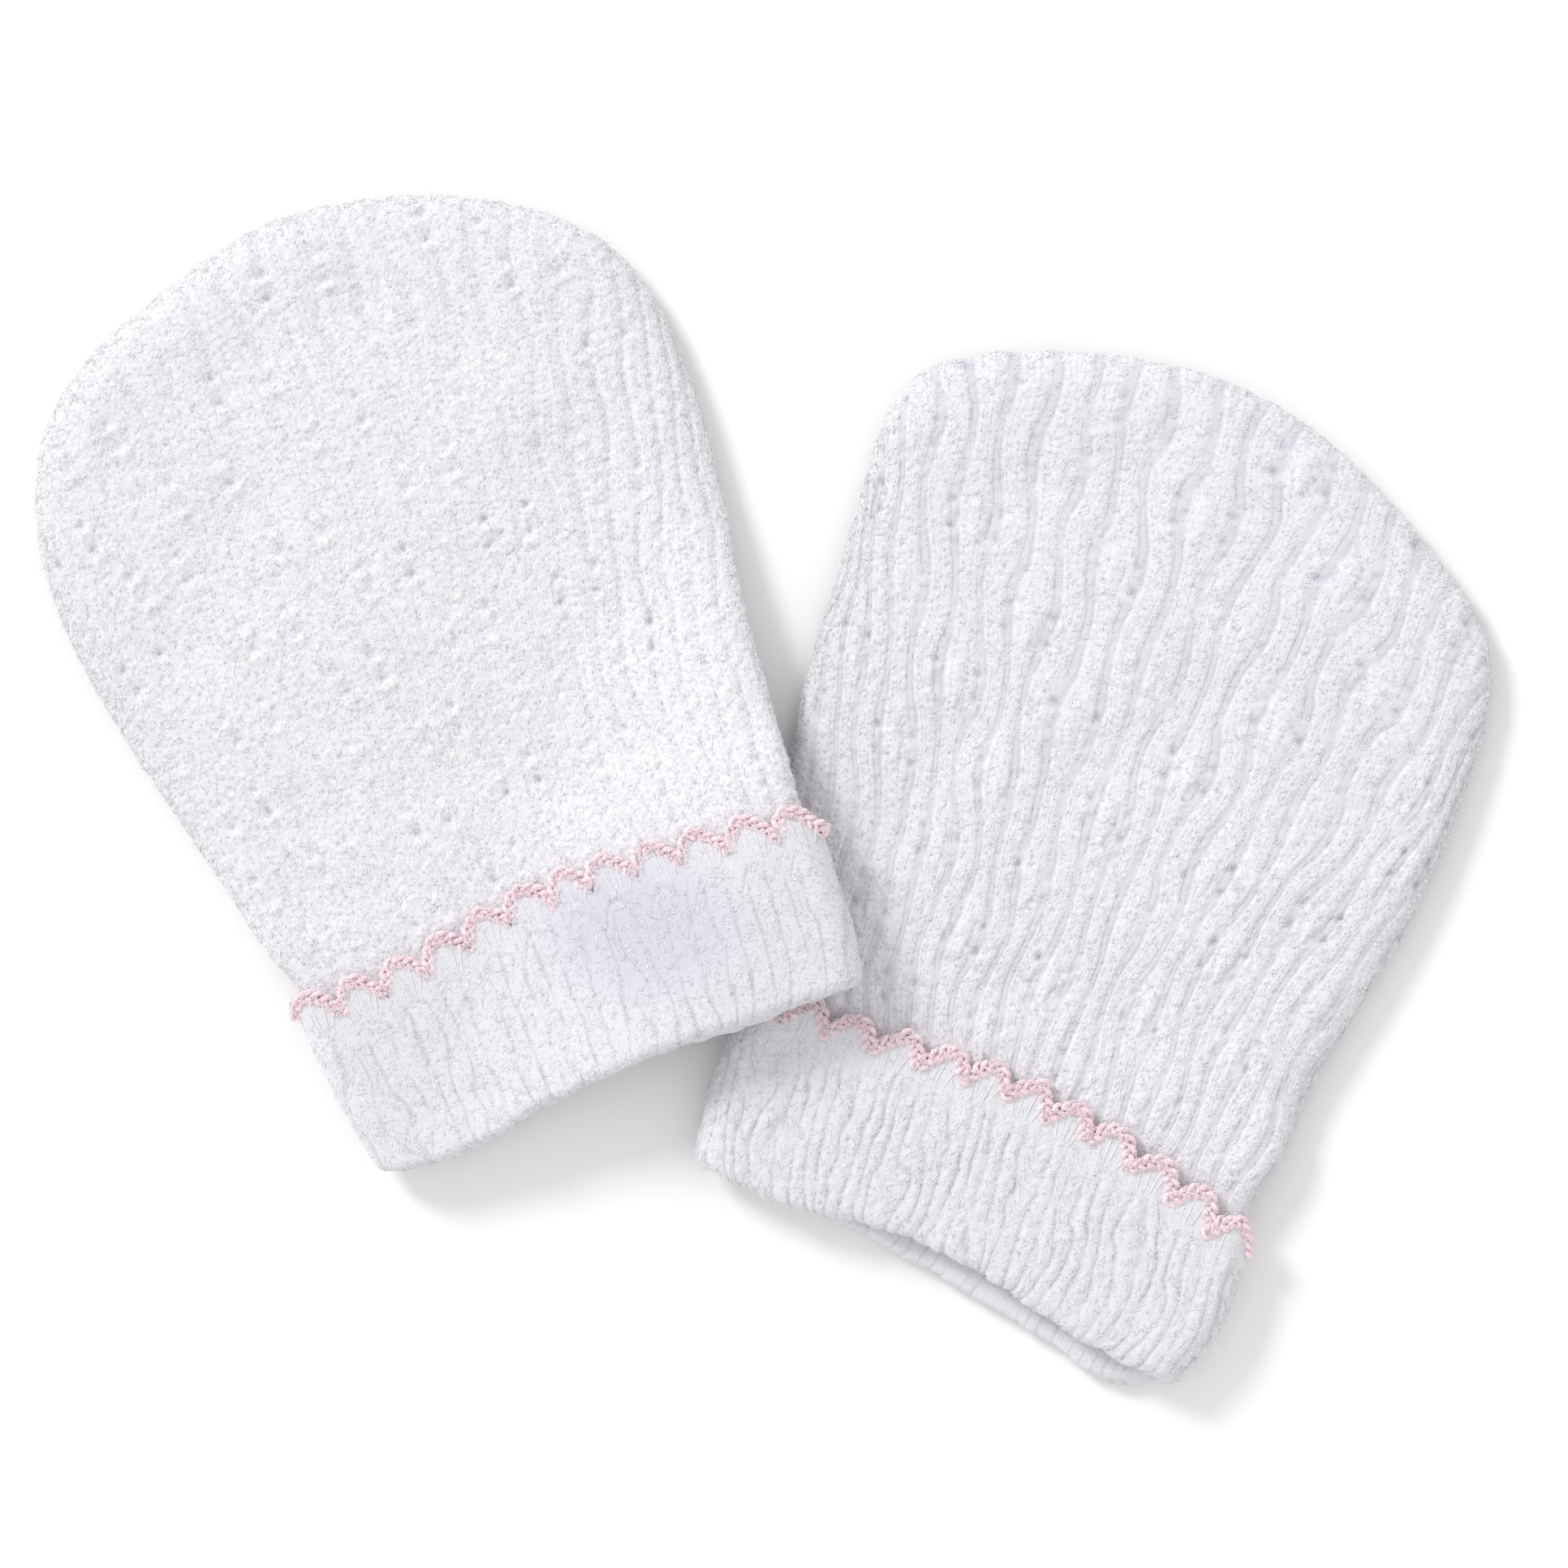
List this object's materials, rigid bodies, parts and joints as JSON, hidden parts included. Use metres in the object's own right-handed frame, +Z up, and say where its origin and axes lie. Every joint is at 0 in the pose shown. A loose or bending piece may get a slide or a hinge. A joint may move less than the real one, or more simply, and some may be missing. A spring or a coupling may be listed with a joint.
{
  "type": "pair of baby mittens",
  "caption": "thumbless newborn mittens in ribbed pointelle knit with turned-up cuffs and a scalloped edging, laid flat with one corner on the other",
  "frame": {"origin": "on the surface the pair lies on, under the middle of its box", "axes": "+Z up from the surface, +X to the right and +Y away, as seen from above with the mittens' tips away"},
  "size_m": [0.1704, 0.1398, 0.0134],
  "materials": {
    "pointelle_knit": "soft white cotton, ribbed pointelle knit",
    "cuff_knit": "soft white cotton, fine rib knit",
    "edging_yarn": "pale pink cotton yarn, worked in scallops"
  },
  "bodies": {
    "root": {"left_front": "pointelle_knit", "left_back": "pointelle_knit", "left_front_cuff": "cuff_knit", "left_back_cuff": "cuff_knit", "left_front_edging": "edging_yarn", "left_back_edging": "edging_yarn", "right_front": "pointelle_knit", "right_back": "pointelle_knit", "right_front_cuff": "cuff_knit", "right_back_cuff": "cuff_knit", "right_front_edging": "edging_yarn", "right_back_edging": "edging_yarn"}
  },
  "joints": []
}
